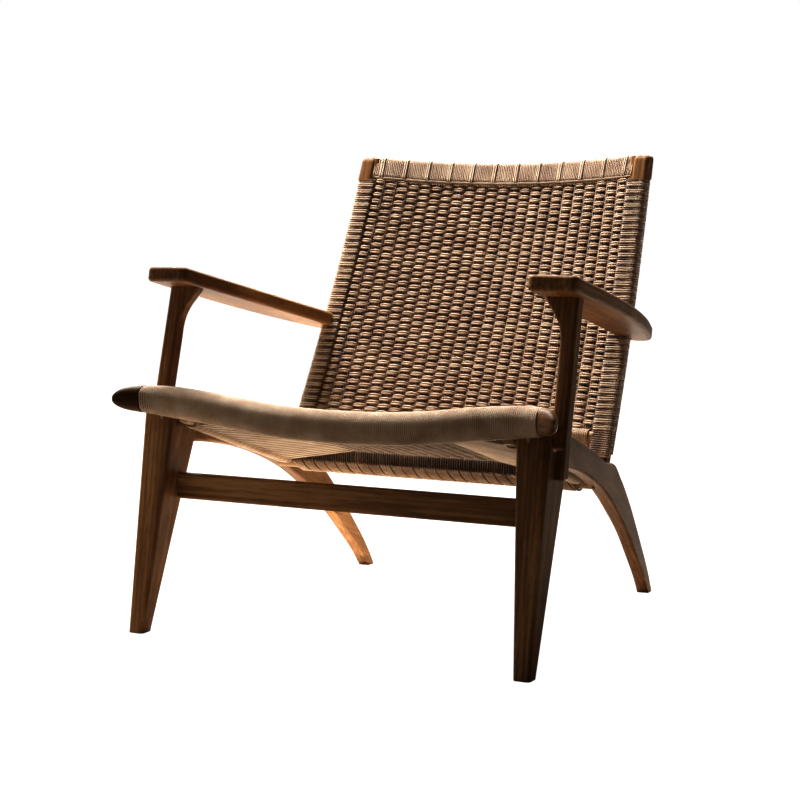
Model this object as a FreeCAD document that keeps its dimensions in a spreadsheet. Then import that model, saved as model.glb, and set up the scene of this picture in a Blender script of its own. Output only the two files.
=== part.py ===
"""Wooden lounge armchair with a woven cord seat and back.

Frame: +Z up, the sitter faces -Y, and +X is the sitter's left-hand side.
The members are laid out from the front edge of the front feet (Y = 0 at the floor), and every
finished piece is then moved back by the cell half_depth, which puts the origin on the floor at
the middle of the chair's box.
"""
import FreeCAD, Part
import math
import os

import Sketcher

from FreeCAD import Placement, Rotation, Vector

# ---------------------------------------------------------------- driving dimensions (mm)
DIMENSIONS = {
    # whole chair
    "half_depth": 334.0,
    "cord_layer": 3.5,          # one layer of wrapped cord
    "clearance": 0.3,           # gap between soft parts and their neighbours
    # front legs, square in section, tapering to the foot
    "foot_x": 318.5,
    "foot_y": 3.5,
    "foot_width": 26.0,
    "foot_depth": 26.0,
    "leg_top_z": 346.0,
    "leg_top_x": 308.5,
    "leg_top_y": 92.0,
    "leg_top_width": 53.5,
    "leg_top_depth": 84.0,
    "leg_corner": 6.0,
    # arm post, the upper part of the front leg
    "post_base_z": 270.0,
    "post_base_x": 334.5,
    "post_base_y": 78.0,
    "post_width": 23.0,
    "post_depth": 26.0,
    "post_lean": 0.26,          # backward run per unit of height
    "post_inset": 0.019,        # inward run per unit of height
    "post_knee_z": 478.0,
    "post_head_z": 512.0,
    "post_top_z": 530.0,
    "post_head_width": 49.0,
    # side frame plane, which closes in towards the back
    "side_toe_angle": 3.75,
    "side_plane_x": 306.5,
    "rear_leg_width": 26.5,
    "rear_foot_width": 19.0,
    "rear_foot_y": 640.0,
    # stretcher between the front legs
    "stretcher_z": 218.0,
    "stretcher_y": 76.0,
    "stretcher_height": 39.0,
    "stretcher_depth": 18.0,
    "stretcher_length": 580.0,
    "stretcher_corner": 4.0,
    "tenon_height": 24.0,
    "tenon_depth": 9.0,
    "tenon_length": 618.0,
    "notch_radius": 15.0,
    "notch_inner_x": 260.0,
    "notch_length": 100.0,
    "notch_rise": 60.0,
    "notch_y": 68.0,
    "notch_z": 324.0,
    # back posts
    "post_spread_low": 281.0,   # middle of the wood at the floor line, carried up by back_taper
    "back_taper": 0.047,
    "back_post_width": 30.0,
    "back_post_depth": 25.0,
    "back_post_low_z": 236.0,
    "back_post_high_z": 728.0,
    "back_cap_low_z": 688.0,
    "back_cap_inner_x": 240.5,
    "back_cap_edge": 7.0,
    "back_wrap_low_z": 258.0,
    # back rails
    "top_rail_half": 246.0,
    "top_rail_bow": 28.0,
    "top_rail_height": 32.0,
    "top_rail_depth": 21.0,
    "top_rail_z": 707.0,
    "top_rail_trim": 10.0,      # the core stops this far short of its cord at each end
    "low_rail_half": 256.0,
    "low_rail_z": 282.0,
    "low_rail_bow": 20.0,
    "low_rail_size": 24.0,
    "back_weave_thickness": 9.0,
    "back_weave_low_z": 303.0,
    "back_weave_high_z": 683.0,
    "back_weave_set_back": 5.0,
    # seat frame
    "front_rail_height": 48.0,
    "front_rail_depth": 44.0,
    "front_rail_wrap_half": 328.0,
    "rear_rail_y": 366.0,
    "rear_rail_z": 233.0,
    "rear_rail_height": 40.0,
    "rear_rail_depth": 34.0,
    "rear_rail_corner": 9.0,
    "rear_wrap_corner": 12.0,
    "rear_rail_length": 560.0,
    "rear_wrap_length": 498.0,
    "side_rail_height": 34.0,
    "side_rail_width": 18.0,
    "side_rail_corner": 5.0,
    "side_wrap_corner": 8.0,
    "seat_weave_thickness": 9.0,
    # armrests
    "arm_front_y": 88.0,
    "arm_front_z": 553.0,
    "arm_slope_angle": 12.35,
    "arm_thickness": 23.0,
    "arm_edge": 6.0,
    # fasteners
    "dowel_diameter": 10.0,
    "dowel_length": 40.0,
    "leg_dowel_start": 16.0,    # how far a leg dowel starts in front of the joint face
    "screw_diameter": 5.0,
    "screw_head_diameter": 9.0,
    "screw_head_height": 3.0,
    "screw_length": 55.0,
    "glide_diameter": 18.0,
    "glide_height": 2.5,
}

doc = FreeCAD.newDocument("Armchair")
sheet = doc.addObject("Spreadsheet::Sheet", "Dimensions")
for row, (alias, number) in enumerate(DIMENSIONS.items(), start=1):
    sheet.set(f"A{row}", alias)
    sheet.set(f"B{row}", str(number))
    sheet.setAlias(f"B{row}", alias)
doc.recompute()

FINISHED = []


def size(alias):
    """The number in one cell of the sheet."""
    return float(sheet.get(alias))


def cell(alias):
    """The same cell as an expression."""
    return f"Dimensions.{alias}"


def finish(obj, label):
    """Labels a finished piece and moves it from the foot datum to the chair's own origin."""
    obj.Label = label
    obj.setExpression("Placement.Base.y", f"-{cell('half_depth')}")
    FINISHED.append(obj)
    return obj


def origin_plane(body, role):
    return next(f for f in body.Origin.OriginFeatures if f.Role == role)


def sketch_on(body, name, role, offset):
    sketch = body.newObject("Sketcher::SketchObject", name)
    sketch.AttachmentSupport = [(origin_plane(body, role), "")]
    sketch.MapMode = "FlatFace"
    sketch.AttachmentOffset = offset
    return sketch


def bind(sketch, constraint, value):
    """Adds a named size to a sketch and ties it to an expression."""
    index = sketch.addConstraint(constraint)
    name = f"size{index}"
    sketch.renameConstraint(index, name)
    sketch.setExpression(f"Constraints.{name}", value)


def rounded_rectangle(sketch, width, height, radius, start=(30.0, 30.0, 4.0)):
    """A rectangle with round corners about the sketch's origin; its sizes are expressions."""
    w, t, r = start[0] / 2, start[1] / 2, start[2]
    corners = [(w - r, t - r, 0), (-w + r, t - r, 90), (-w + r, -t + r, 180), (w - r, -t + r, 270)]
    arcs = []
    for x, y, angle in corners:
        circle = Part.Circle(Vector(x, y, 0), Vector(0, 0, 1), r)
        arcs.append(sketch.addGeometry(
            Part.ArcOfCircle(circle, math.radians(angle), math.radians(angle + 90)), False))
    ends = [((w - r, t), (-w + r, t)), ((-w, t - r), (-w, -t + r)),
            ((-w + r, -t), (w - r, -t)), ((w, -t + r), (w, t - r))]
    lines = []
    for a, b in ends:
        lines.append(sketch.addGeometry(Part.LineSegment(Vector(*a, 0), Vector(*b, 0)), False))
    for n in range(4):
        sketch.addConstraint(Sketcher.Constraint("Tangent", arcs[n], 2, lines[n], 1))
        sketch.addConstraint(Sketcher.Constraint("Tangent", lines[n], 2, arcs[(n + 1) % 4], 1))
    for n in (0, 2):
        sketch.addConstraint(Sketcher.Constraint("Horizontal", lines[n]))
    for n in (1, 3):
        sketch.addConstraint(Sketcher.Constraint("Vertical", lines[n]))
    for n in range(1, 4):
        sketch.addConstraint(Sketcher.Constraint("Equal", arcs[0], arcs[n]))
    sketch.addConstraint(Sketcher.Constraint("Symmetric", arcs[0], 3, arcs[2], 3, -1, 1))
    bind(sketch, Sketcher.Constraint("DistanceX", lines[1], 1, lines[3], 1, 2 * w), width)
    bind(sketch, Sketcher.Constraint("DistanceY", lines[2], 1, lines[0], 1, 2 * t), height)
    bind(sketch, Sketcher.Constraint("Radius", arcs[0], r), radius)


def closed_outline(sketch, stretches):
    """Adds an outline made of straight runs ("line") and smooth curves ("curve") through points."""
    for kind, points in stretches:
        vectors = [Vector(u, v, 0) for u, v in points]
        if kind == "line":
            sketch.addGeometry(Part.LineSegment(vectors[0], vectors[1]), False)
        else:
            spline = Part.BSplineCurve()
            spline.interpolate(vectors)
            sketch.addGeometry(spline, False)


def loft(name, sections, role="XY_Plane", ruled=False):
    """A body lofted through rounded rectangles: (offset, width, height, radius) for each."""
    body = doc.addObject("PartDesign::Body", name)
    sketches = []
    for n, (offset, width, height, radius) in enumerate(sections):
        sketch = sketch_on(body, f"{name}Section{n}", role, Placement(Vector(*offset), Rotation()))
        rounded_rectangle(sketch, width, height, radius)
        sketches.append(sketch)
    feature = body.newObject("PartDesign::AdditiveLoft", f"{name}Loft")
    feature.Profile = sketches[0]
    feature.Sections = sketches[1:]
    feature.Ruled = ruled
    return body


def bar(name, start, end, width, height, radius):
    """A straight rounded bar between two points; width is the side that stays level."""
    start, end = Vector(*start), Vector(*end)
    along = (end - start).normalize()
    level = Vector(0, 0, 1).cross(along).normalize()
    body = doc.addObject("PartDesign::Body", name)
    sketch = sketch_on(body, f"{name}Section", "XY_Plane", Placement())
    rounded_rectangle(sketch, width, height, radius)
    pad = body.newObject("PartDesign::Pad", f"{name}Pad")
    pad.Profile = sketch
    pad.Length = end.distanceToPoint(start)
    body.Placement = Placement(start, Rotation(level, along.cross(level), along, "ZXY"))
    return body


def box(name, corner, length, width, height):
    """A Part box from its low corner; the three lengths are expressions or numbers."""
    obj = doc.addObject("Part::Box", name)
    obj.Placement = Placement(Vector(*corner), Rotation())
    for prop, value in (("Length", length), ("Width", width), ("Height", height)):
        if isinstance(value, str):
            obj.setExpression(prop, value)
        else:
            setattr(obj, prop, value)
    return obj


def cylinder(name, start, direction, diameter, length):
    """A Part cylinder from start along direction; both sizes are expressions."""
    obj = doc.addObject("Part::Cylinder", name)
    obj.setExpression("Radius", f"{diameter} / 2")
    obj.setExpression("Height", length)
    obj.Placement = Placement(Vector(*start), Rotation(Vector(0, 0, 1), Vector(*direction)))
    return obj


def cut(name, base, tool):
    obj = doc.addObject("Part::Cut", name)
    obj.Base = base
    obj.Tool = tool
    return obj


def fuse(name, pieces):
    obj = doc.addObject("Part::MultiFuse", name)
    obj.Shapes = pieces
    return obj


def common(name, pieces):
    obj = doc.addObject("Part::MultiCommon", name)
    obj.Shapes = pieces
    return obj


def group(name, pieces):
    """Separate solids that share one node."""
    obj = doc.addObject("Part::Compound", name)
    obj.Links = pieces
    return obj


def mix(low, high, share):
    """Expression for a value part of the way from one cell to another."""
    return f"{cell(low)} + ({cell(high)} - {cell(low)}) * {share}"


# ---------------------------------------------------------------- lines that several pieces share
SIDES = (("left", 1), ("right", -1))   # the sitter's left is +X


def side_plane_x(y):
    """Distance of the side frame's middle plane from the chair's middle."""
    return size("side_plane_x") - y * math.tan(math.radians(size("side_toe_angle")))


# The back leans away from BACK_FLOOR_Y, where its line meets the floor, and straightens with height.
BACK_FLOOR_Y, BACK_LEAN, BACK_CURVE = 237.0, 0.6705, 0.000191
TOP_RAIL_DIP = 13.0        # how far the middle of the top rail hangs below its ends
LOW_RAIL_DIP = 0.01        # the low rail bows straight back


def back_line_y(z):
    """Front face of the wrapped back posts at a height."""
    return BACK_FLOOR_Y + BACK_LEAN * z - BACK_CURVE * z * z


def back_post_x(z):
    return size("post_spread_low") - size("back_taper") * z


def arm_top_z(y):
    return size("arm_front_z") - (y - size("arm_front_y")) * math.tan(
        math.radians(size("arm_slope_angle")))


# Middle of the seat's front rail: (X, Y, Z, share of the full height, share of the full depth).
# It dips where the thighs cross it, and its ends sweep forward into round noses.
FRONT_RAIL = [
    (0.0, 50.0, 327.0, 1.0, 1.0),
    (75.0, 50.0, 328.5, 1.0, 1.0),
    (150.0, 50.0, 334.5, 1.0, 1.0),
    (215.0, 50.0, 342.5, 1.0, 1.0),
    (265.0, 50.0, 347.5, 0.99, 1.0),
    (300.0, 48.0, 350.5, 0.95, 0.97),
    (328.0, 37.0, 353.0, 0.85, 0.88),
    (345.0, 23.0, 354.5, 0.73, 0.74),
    (355.5, 12.0, 355.0, 0.52, 0.54),
    (361.0, 5.0, 355.0, 0.25, 0.26),
]


# Ends of the seat's side rails and places of the hidden fasteners (X, Y, Z; X from the middle).
SIDE_RAIL_NEAR, SIDE_RAIL_FAR = (268.0, 60.0, 334.0), (257.0, 368.0, 234.0)
FRAME_DOWEL_STARTS = ((267.9, 60.0, 333.2), (257.4, 356.0, 237.9))
ARM_DOWEL_INSETS = (14.0, 34.0)     # from the outer face of the arm post
ARM_DOWEL_DROP = 38.0               # from the armrest's top down to a dowel's lower end
ARM_DOWEL_LEAN = (0.0, 0.22, 0.975)
ARM_SCREW_Y = 514.0
LEG_JOINT_Y = 108.0
LEG_DOWEL_HEIGHTS = (296.0, 322.0)
SADDLE_DOWEL_START = (303.0, 51.0, 302.0)
POST_DOWEL_START = (291.0, 404.0, 242.5)
REAR_DOWEL_DEPTH = 12.0             # into the rear leg
BACK_DOWEL_DEPTH = 4.0              # past the middle of the upright
REAR_GLIDE_Y = 633.0


# ---------------------------------------------------------------- seat front rail
def front_rail_loft(name, inset, last):
    """The rail's outer shape (inset 0) or its core under the cord, out to station `last`."""
    stations = FRONT_RAIL[:last]
    mirrored = [(-x, y, z, a, b) for x, y, z, a, b in reversed(stations[1:])]
    sections = []
    for x, y, z, tall, deep in mirrored + stations:
        # on the YZ plane the sketch's axes are Y and Z, and its normal is X
        width = f"{cell('front_rail_depth')} * {deep} - 2 * {inset}"
        height = f"{cell('front_rail_height')} * {tall} - 2 * {inset}"
        sections.append(((y, z, x), width, height, f"({width}) * 0.42"))
    return loft(name, sections, "YZ_Plane")


def make_front_rail():
    half = size("front_rail_wrap_half")
    # the core's loft runs one station past the end of the cord
    wrapped = 1 + sum(station[0] <= half for station in FRONT_RAIL)
    # a box taller and deeper than the rail cuts it where the cord ends
    low_corner, reach = (-half, -100.0, 200.0), 300.0
    core = front_rail_loft("FrontRailCore", cell("cord_layer"), wrapped)
    core_span = box("FrontRailCoreSpan", low_corner, 2 * half, reach, reach)
    middle = common("FrontRailMiddle", [core, core_span])
    outer = front_rail_loft("FrontRailOuter", "0", len(FRONT_RAIL))
    span = box("FrontRailWrapSpan", low_corner, 2 * half, reach, reach)
    noses = cut("FrontRailNoses", outer, span)
    rail = fuse("FrontRail", [middle, noses])
    outer_two = front_rail_loft("FrontRailSkin", "0", len(FRONT_RAIL))
    wrap_full = common("FrontRailWrapFull", [outer_two, core_span])
    wrap = cut("FrontRailWrap", wrap_full, front_rail_loft("FrontRailBore", cell("cord_layer"), wrapped))
    return rail, wrap, outer_two


# ---------------------------------------------------------------- front legs with arm posts
def front_leg_raw(side, sign):
    shares = (0.0, 0.35, 0.7, 1.0)
    sections = []
    for share in shares:
        x = size("foot_x") + (size("leg_top_x") - size("foot_x")) * share
        y = size("foot_y") + (size("leg_top_y") - size("foot_y")) * share
        sections.append((
            (sign * x, y, size("leg_top_z") * share),
            mix("foot_width", "leg_top_width", share),
            mix("foot_depth", "leg_top_depth", share),
            cell("leg_corner"),
        ))
    leg = loft(f"LegTaper_{side}", sections, ruled=True)

    # the post widens inward into a flared head: (height, share of the flare)
    knee, head = size("post_knee_z"), size("post_head_z")
    flare = ((size("post_base_z"), 0.0), (knee - 30, 0.0), (knee - 8, 0.05), (knee + 8, 0.26),
             (knee + 22, 0.6), (head, 0.93), (size("post_top_z"), 1.0))
    sections = []
    for height, share in flare:
        rise = height - size("post_base_z")
        outer = size("post_base_x") + size("post_width") / 2 - size("post_inset") * rise
        wide = size("post_width") + (size("post_head_width") - size("post_width")) * share
        sections.append((
            (sign * (outer - wide / 2), size("post_base_y") + size("post_lean") * rise, height),
            mix("post_width", "post_head_width", share), cell("post_depth"), cell("leg_corner"),
        ))
    post = loft(f"ArmPost_{side}", sections[:2], ruled=True)
    head_part = loft(f"ArmPostHead_{side}", sections[1:])
    return fuse(f"LegBlank_{side}", [leg, post, head_part])


# ---------------------------------------------------------------- rear legs
def rear_leg_blank(side, sign):
    """Boomerang board: from the front leg back under the seat, then down to the rear foot."""
    top = [(84, 343), (197, 316), (341, 268), (390, 251), (424, 244), (444, 229), (468, 209),
           (524, 155), (579, 93), (628, 33), (649, 0)]
    sole = [(649, 0), (629, 0)]
    arch = [(629, 0), (610, 24), (561, 72), (507, 121), (451, 161), (388, 201),
            (328, 229), (276, 248), (220, 263), (160, 275), (84, 284)]
    front = [(84, 284), (84, 343)]
    body = doc.addObject("PartDesign::Body", f"RearLegBoard_{side}")
    sketch = sketch_on(body, f"RearLegOutline_{side}", "YZ_Plane", Placement())
    closed_outline(sketch, [("curve", top), ("line", sole), ("curve", arch), ("line", front)])
    pad = body.newObject("PartDesign::Pad", f"RearLegPad_{side}")
    pad.Profile = sketch
    pad.setExpression("Length", cell("rear_leg_width"))
    pad.Midplane = True
    doc.recompute()
    edges = [f"Edge{n + 1}" for n, e in enumerate(pad.Shape.Edges)
             if abs(e.BoundBox.XLength) < 0.01 and e.Length > 200]
    fillet = body.newObject("PartDesign::Fillet", f"RearLegRounding_{side}")
    fillet.Base = (pad, edges)
    fillet.setExpression("Radius", f"{cell('leg_corner')}")
    doc.recompute()
    if not fillet.Shape.isValid() or "Invalid" in fillet.State:
        raise RuntimeError("rear leg rounding failed")
    # the board thins towards the foot: a wedge that covers it from end to end
    taper = doc.addObject("Part::Wedge", f"RearLegTaper_{side}")
    half, foot = size("rear_leg_width") / 2 + 1, size("rear_foot_width") / 2
    floor, ceiling = -10.0, 400.0
    taper.Xmin, taper.Xmax = -half, half
    taper.Zmin, taper.Zmax = floor, ceiling
    taper.X2min, taper.X2max = -foot, foot
    taper.Z2min, taper.Z2max = floor, ceiling
    taper.Ymin, taper.Ymax = 70.0, size("rear_foot_y") + 15.0
    board = common(f"RearLegShape_{side}", [body, taper])
    # turned into the side plane, which meets the middle plane of the front leg
    angle = sign * size("side_toe_angle")
    board.Placement = Placement(Vector(sign * size("side_plane_x"), 0, 0),
                                Rotation(Vector(0, 0, 1), angle))
    return board


# ---------------------------------------------------------------- back posts
def back_post_loft(name, sign, low, high, grow, steps):
    """A leaning post through horizontal sections; grow adds a layer of cord all round."""
    sections = []
    for n in range(steps):
        z = low + (high - low) * n / (steps - 1)
        y = back_line_y(z) + size("cord_layer") + size("back_post_depth") / 2
        sections.append((
            (sign * back_post_x(z), y, z),
            f"{cell('back_post_width')} + 2 * {grow}",
            f"{cell('back_post_depth')} + 2 * {grow}",
            f"{cell('leg_corner')} + {grow}",
        ))
    return loft(name, sections)


def back_post_cap(side, sign):
    """The bare corner at a post's top, as thick as the wound cord below it and rounded on top."""
    low, high = size("back_cap_low_z"), size("back_post_high_z")
    inner, edge = size("back_cap_inner_x"), size("back_cap_edge")
    # (height, how far the section is set in): straight sides, then a rounding in steps
    steps = [(low, 0.0), ((low + high) / 2, 0.0)]
    for turn in (0.0, 20.0, 40.0, 60.0, 80.0):
        angle = math.radians(turn)
        steps.append((high - edge * (1 - math.sin(angle)), edge * (1 - math.cos(angle))))
    steps.append((high, edge))
    sections = []
    for z, inset in steps:
        outer = back_post_x(z) + size("back_post_width") / 2 + size("cord_layer")
        y = back_line_y(z) + size("cord_layer") + size("back_post_depth") / 2
        sections.append((
            (sign * (inner + outer) / 2, y, z), f"{outer - inner - 2 * inset}",
            f"{cell('back_post_depth')} + 2 * {cell('cord_layer')} - 2 * {inset}",
            f"{cell('leg_corner')} - {inset / 2}",
        ))
    return loft(f"CapBlock_{side}", sections, ruled=True)


# ---------------------------------------------------------------- curved back rails
def bowed_rail(name, half, bow, height, depth, z, dip, grow, trim=0.0):
    """A rail between the back posts that bows backward and dips, as part of a ring.

    grow adds a layer of cord all round, and trim shortens both ends along the same ring.
    """
    reach = size(half)
    sag = math.hypot(size(bow), dip)
    radius = (reach * reach + sag * sag) / (2 * sag)
    angle = math.degrees(math.asin((reach - trim) / radius))
    tilt = math.atan2(dip, size(bow))
    y_end = back_line_y(size(z)) + size("cord_layer") + size("back_post_depth") / 2
    y_mid, z_mid = y_end + size(bow), size(z) - dip
    body = doc.addObject("PartDesign::Body", name)
    turn = Rotation(Vector(0, 0, 1), -math.degrees(tilt))
    sketch = sketch_on(body, f"{name}Section", "YZ_Plane", Placement(Vector(y_mid, z_mid, 0), turn))
    rounded_rectangle(sketch, f"{cell(depth)} + 2 * {grow}", f"{cell(height)} + 2 * {grow}",
                      f"{cell('leg_corner')} + {grow}")
    axis = sketch.addGeometry(
        Part.LineSegment(Vector(-radius, -50, 0), Vector(-radius, 50, 0)), True)
    sketch.addConstraint(Sketcher.Constraint("Vertical", axis))
    sketch.addConstraint(Sketcher.Constraint("DistanceX", axis, 1, -1, 1, radius))
    ring = body.newObject("PartDesign::Revolution", f"{name}Ring")
    ring.Profile = sketch
    ring.ReferenceAxis = (sketch, ["Axis0"])
    ring.Midplane = True
    ring.Angle = 2 * angle
    return body


# ---------------------------------------------------------------- armrests
def armrest_blank(side, sign):
    """Paddle-shaped rest, broad in front and round behind, sloping down to the back post."""
    slope = math.radians(size("arm_slope_angle"))

    def flat(x, y):
        return (sign * x, (y - size("arm_front_y")) / math.cos(slope))

    front = [flat(292, 86), flat(346, 89)]
    outer_corner = [flat(346, 89), flat(353.5, 93), flat(356, 101)]
    outer = [flat(356, 101), flat(355, 240), flat(346, 360), flat(330, 452), flat(309, 530)]
    tip = [flat(309, 530), flat(299, 549), flat(281, 556), flat(264, 548), flat(256, 528)]
    inner = [flat(256, 528), flat(282, 98)]
    inner_corner = [flat(282, 98), flat(284.5, 89), flat(292, 86)]
    body = doc.addObject("PartDesign::Body", f"ArmBoard_{side}")
    sketch = sketch_on(body, f"ArmOutline_{side}", "XY_Plane", Placement())
    closed_outline(sketch, [("line", front), ("curve", outer_corner), ("curve", outer), ("curve", tip),
                            ("line", inner), ("curve", inner_corner)])
    pad = body.newObject("PartDesign::Pad", f"ArmPad_{side}")
    pad.Profile = sketch
    pad.Reversed = True
    pad.setExpression("Length", cell("arm_thickness"))
    doc.recompute()
    edges = [f"Edge{n + 1}" for n, e in enumerate(pad.Shape.Edges)
             if abs(e.BoundBox.ZLength) < 0.01]
    fillet = body.newObject("PartDesign::Fillet", f"ArmRounding_{side}")
    fillet.Base = (pad, edges)
    fillet.setExpression("Radius", cell("arm_edge"))
    doc.recompute()
    if "Invalid" in fillet.State:
        raise RuntimeError("armrest rounding failed")
    body.Placement = Placement(Vector(0, size("arm_front_y"), size("arm_front_z")),
                               Rotation(Vector(1, 0, 0), -size("arm_slope_angle")))
    return body


# ---------------------------------------------------------------- woven panels
def bowed_strip(sketch, half, near, far, bow):
    """A thin strip between two arcs that sink by `bow` in the middle; u runs along the strip."""
    for edge in (near, far):
        arc = Part.Arc(Vector(-half, edge, 0), Vector(0, edge + bow, 0), Vector(half, edge, 0))
        sketch.addGeometry(arc, False)
    for u in (-half, half):
        sketch.addGeometry(Part.LineSegment(Vector(u, near, 0), Vector(u, far, 0)), False)


def panel(name, role, stations):
    """A woven panel as a plain closed slab, lofted through bowed strips."""
    body = doc.addObject("PartDesign::Body", name)
    sketches = []
    for n, (offset, half, near, far, bow) in enumerate(stations):
        sketch = sketch_on(body, f"{name}Strip{n}", role, Placement(Vector(0, 0, offset), Rotation()))
        bowed_strip(sketch, half, near, far, bow)
        sketches.append(sketch)
    feature = body.newObject("PartDesign::AdditiveLoft", f"{name}Loft")
    feature.Profile = sketches[0]
    feature.Sections = sketches[1:]
    return body


def back_panel():
    thickness = size("back_weave_thickness")
    low, high = size("back_weave_low_z"), size("back_weave_high_z")
    stations = []
    for share in (0.0, 0.33, 0.67, 1.0):
        z = low + (high - low) * share
        half = back_post_x(z) - size("back_post_width") / 2 - size("cord_layer") - size("clearance")
        near = back_line_y(z) + size("back_weave_set_back")
        bow = size("low_rail_bow") + (size("top_rail_bow") - size("low_rail_bow")) * share
        stations.append((z, half, near, near + thickness, bow))
    return panel("BackPanel", "XY_Plane", stations)


def seat_panel():
    thickness = size("seat_weave_thickness")
    stations = []
    # (Y, half width, height of the edge, dip in the middle)
    for y, half, edge, dip in ((73.5, 253.0, 352.0, 20.0), (165.0, 249.5, 319.0, 18.0),
                               (255.0, 246.0, 287.0, 9.0), (344.0, 242.5, 256.0, 1.0)):
        # on the XZ plane the sketch's normal is -Y
        stations.append((-y, half, edge - thickness, edge, -dip))
    return panel("SeatPanel", "XZ_Plane", stations)


# ---------------------------------------------------------------- assembly
front_rail, front_wrap, front_skin = make_front_rail()

stretcher_half = size("stretcher_length") / 2
stretcher_line = [(sign * stretcher_half, size("stretcher_y"), size("stretcher_z")) for sign in (-1, 1)]
stretcher_bar = bar("StretcherBar", *stretcher_line, cell("stretcher_depth"),
                    cell("stretcher_height"), cell("stretcher_corner"))
tenon = box("StretcherTenon",
            (-size("tenon_length") / 2, size("stretcher_y") - size("tenon_depth") / 2,
             size("stretcher_z") - size("tenon_height") / 2),
            cell("tenon_length"), cell("tenon_depth"), cell("tenon_height"))

rear_z, rear_y = size("rear_rail_z"), size("rear_rail_y")
rear_half = size("rear_rail_length") / 2
wrap_half = size("rear_wrap_length") / 2
rear_bar = bar("RearRailBar", (-rear_half, rear_y, rear_z), (rear_half, rear_y, rear_z),
               cell("rear_rail_depth"), cell("rear_rail_height"), cell("rear_rail_corner"))
rear_skin = bar("RearRailSkin", (-wrap_half, rear_y, rear_z), (wrap_half, rear_y, rear_z),
                f"{cell('rear_rail_depth')} + 2 * {cell('cord_layer')}",
                f"{cell('rear_rail_height')} + 2 * {cell('cord_layer')}", cell("rear_wrap_corner"))
rear_full = bar("RearRailFull", (-rear_half, rear_y, rear_z), (rear_half, rear_y, rear_z),
                cell("rear_rail_depth"), cell("rear_rail_height"), cell("rear_rail_corner"))

top_rail_bar = bowed_rail("TopRailBar", "top_rail_half", "top_rail_bow", "top_rail_height",
                          "top_rail_depth", "top_rail_z", TOP_RAIL_DIP, "0",
                          trim=size("top_rail_trim"))
low_rail_bar = bowed_rail("LowRailBar", "low_rail_half", "low_rail_bow", "low_rail_size",
                          "low_rail_size", "low_rail_z", LOW_RAIL_DIP, "0")
doc.recompute()

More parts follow.
